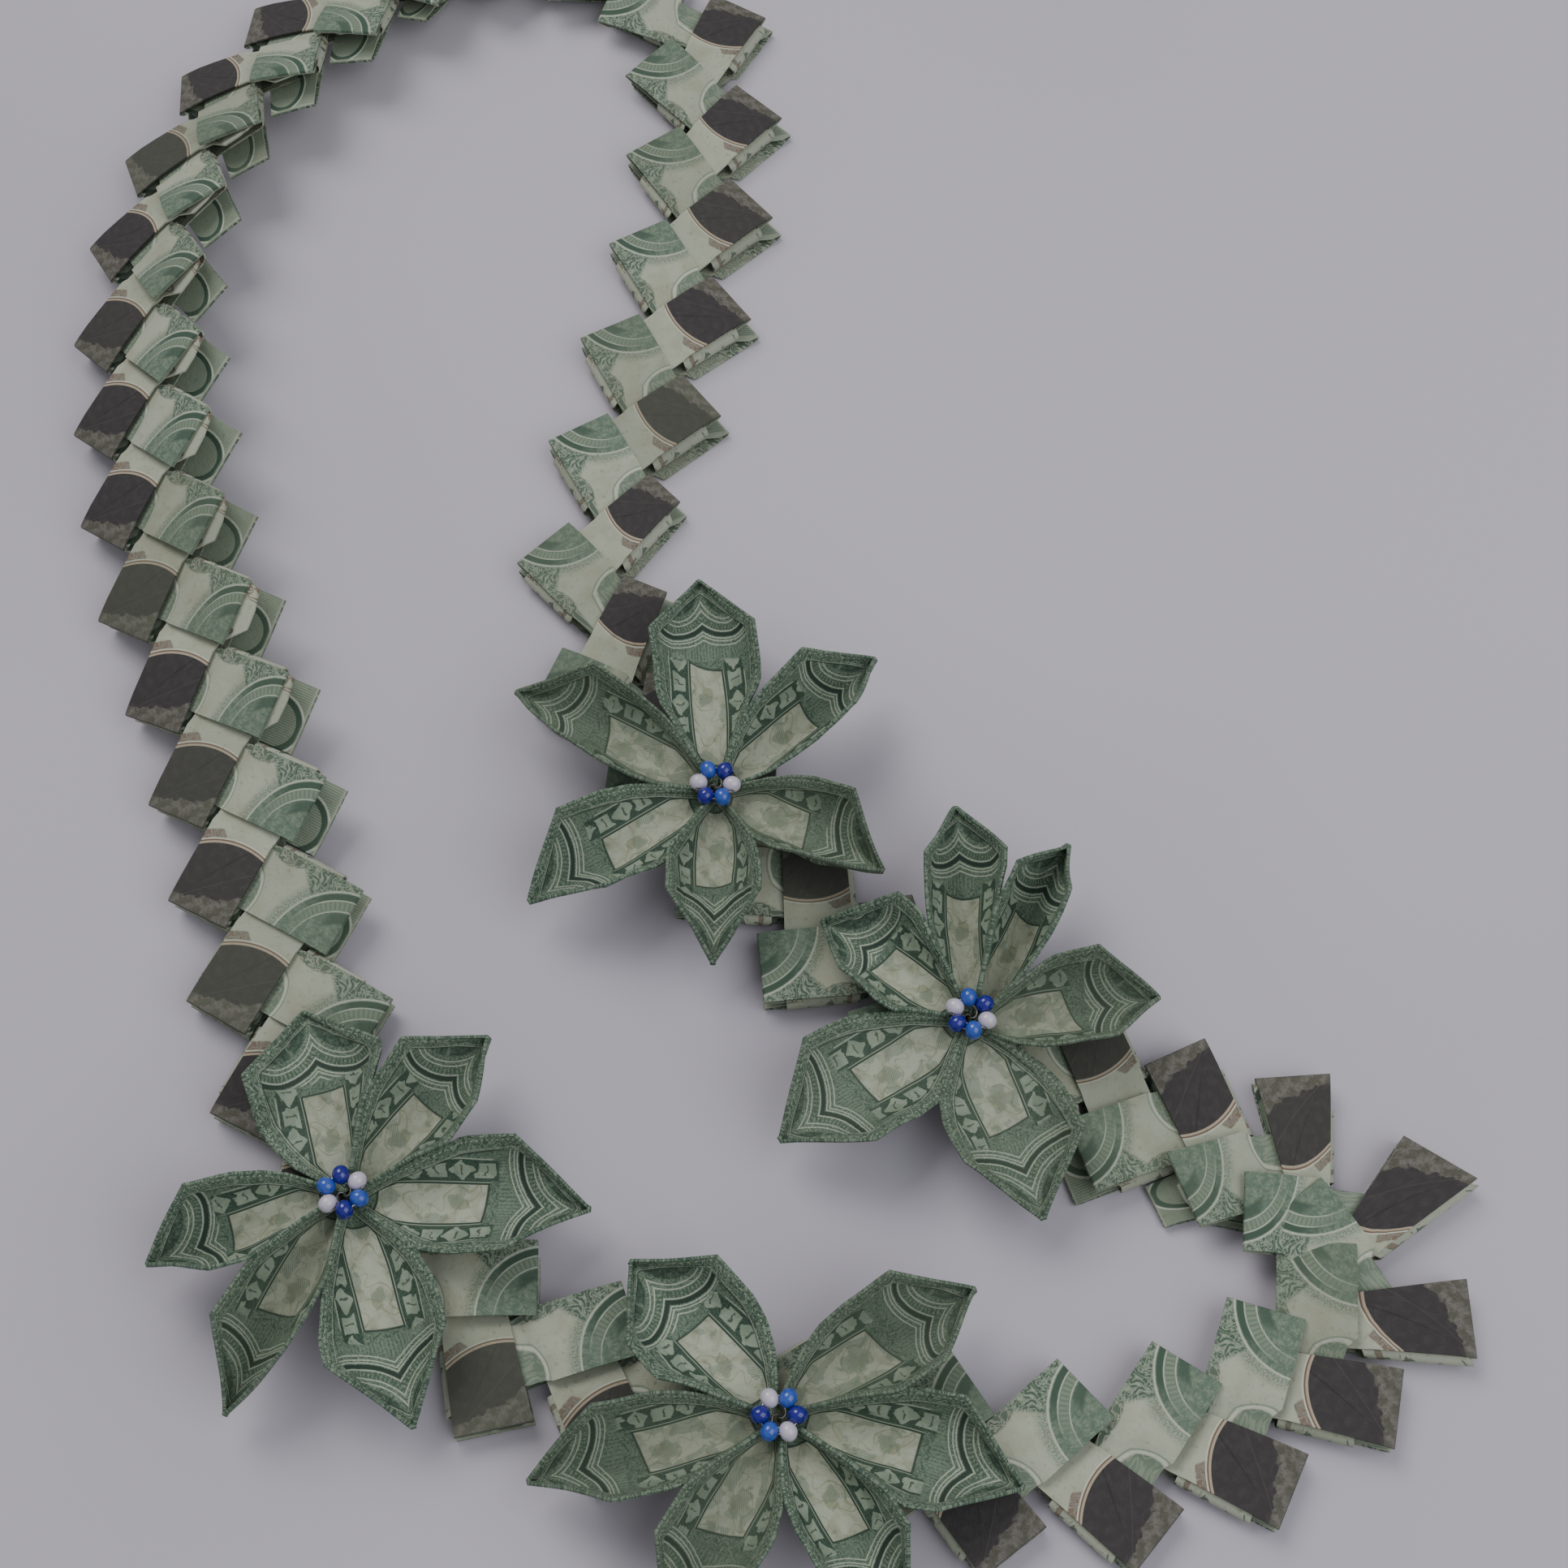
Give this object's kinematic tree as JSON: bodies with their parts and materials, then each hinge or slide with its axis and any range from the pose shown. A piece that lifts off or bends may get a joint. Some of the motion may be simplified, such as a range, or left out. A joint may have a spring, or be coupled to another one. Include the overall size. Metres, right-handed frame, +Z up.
{
  "type": "money lei",
  "caption": "Garland laid flat: a closed zigzag chain of folded note-paper links that carries folded paper flowers, each with a ring of small beads at its middle.",
  "frame": {"origin": "middle of the bounding box in plan, on the surface the lei lies on", "axes": "+Z up; +Y along the long axis of the laid loop, from the broad foot with the flowers to the narrow top; +X to the right seen from above"},
  "size_m": [0.3154, 0.4437, 0.0258],
  "materials": {
    "chain_paper": "matt printed note paper",
    "petal_paper": "matt printed note paper",
    "bead_glass": "opaque glossy seed beads on thin wire"
  },
  "bodies": {
    "root": {"chain_segment_01": "chain_paper", "chain_segment_02": "chain_paper", "chain_segment_03": "chain_paper", "chain_segment_04": "chain_paper", "chain_segment_05": "chain_paper", "chain_segment_06": "chain_paper", "chain_segment_07": "chain_paper", "chain_segment_08": "chain_paper", "chain_segment_09": "chain_paper", "chain_segment_10": "chain_paper", "chain_segment_11": "chain_paper", "chain_segment_12": "chain_paper", "chain_segment_13": "chain_paper", "chain_segment_14": "chain_paper", "chain_segment_15": "chain_paper", "chain_segment_16": "chain_paper", "chain_segment_17": "chain_paper", "chain_segment_18": "chain_paper", "chain_segment_19": "chain_paper", "chain_segment_20": "chain_paper", "chain_segment_21": "chain_paper", "chain_segment_22": "chain_paper", "chain_segment_23": "chain_paper", "chain_segment_24": "chain_paper", "chain_segment_25": "chain_paper", "chain_segment_26": "chain_paper", "flower_1_petal_1": "petal_paper", "flower_1_petal_2": "petal_paper", "flower_1_petal_3": "petal_paper", "flower_1_petal_4": "petal_paper", "flower_1_petal_5": "petal_paper", "flower_1_petal_6": "petal_paper", "flower_2_petal_1": "petal_paper", "flower_2_petal_2": "petal_paper", "flower_2_petal_3": "petal_paper", "flower_2_petal_4": "petal_paper", "flower_2_petal_5": "petal_paper", "flower_2_petal_6": "petal_paper", "flower_3_petal_1": "petal_paper", "flower_3_petal_2": "petal_paper", "flower_3_petal_3": "petal_paper", "flower_3_petal_4": "petal_paper", "flower_3_petal_5": "petal_paper", "flower_3_petal_6": "petal_paper", "flower_4_petal_1": "petal_paper", "flower_4_petal_2": "petal_paper", "flower_4_petal_3": "petal_paper", "flower_4_petal_4": "petal_paper", "flower_4_petal_5": "petal_paper", "flower_4_petal_6": "petal_paper", "flower_1_bead_ring": "bead_glass", "flower_2_bead_ring": "bead_glass", "flower_3_bead_ring": "bead_glass", "flower_4_bead_ring": "bead_glass"}
  },
  "joints": []
}
